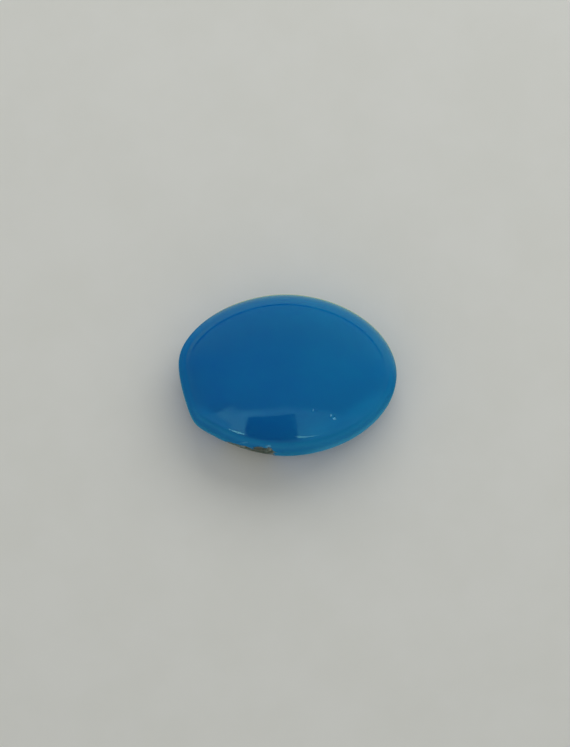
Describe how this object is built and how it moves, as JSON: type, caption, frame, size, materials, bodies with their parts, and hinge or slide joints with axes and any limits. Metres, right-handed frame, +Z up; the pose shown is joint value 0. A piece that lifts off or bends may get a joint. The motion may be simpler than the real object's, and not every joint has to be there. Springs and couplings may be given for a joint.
{
  "type": "polished turquoise cabochon",
  "caption": "Polished oval turquoise stone with a full dome, rounded walls, a flat back and a small chip of brown host rock in its front wall.",
  "frame": {"origin": "under the middle of the stone's box, on its flat back", "axes": "+X along the stone, away from its flattened end, +Z up through the dome, and -Y towards the wall with the chip"},
  "size_m": [0.0144, 0.0108, 0.0048],
  "materials": {
    "turquoise": "polished"
  },
  "bodies": {
    "root": {"turquoise_cabochon": "turquoise"}
  },
  "joints": []
}
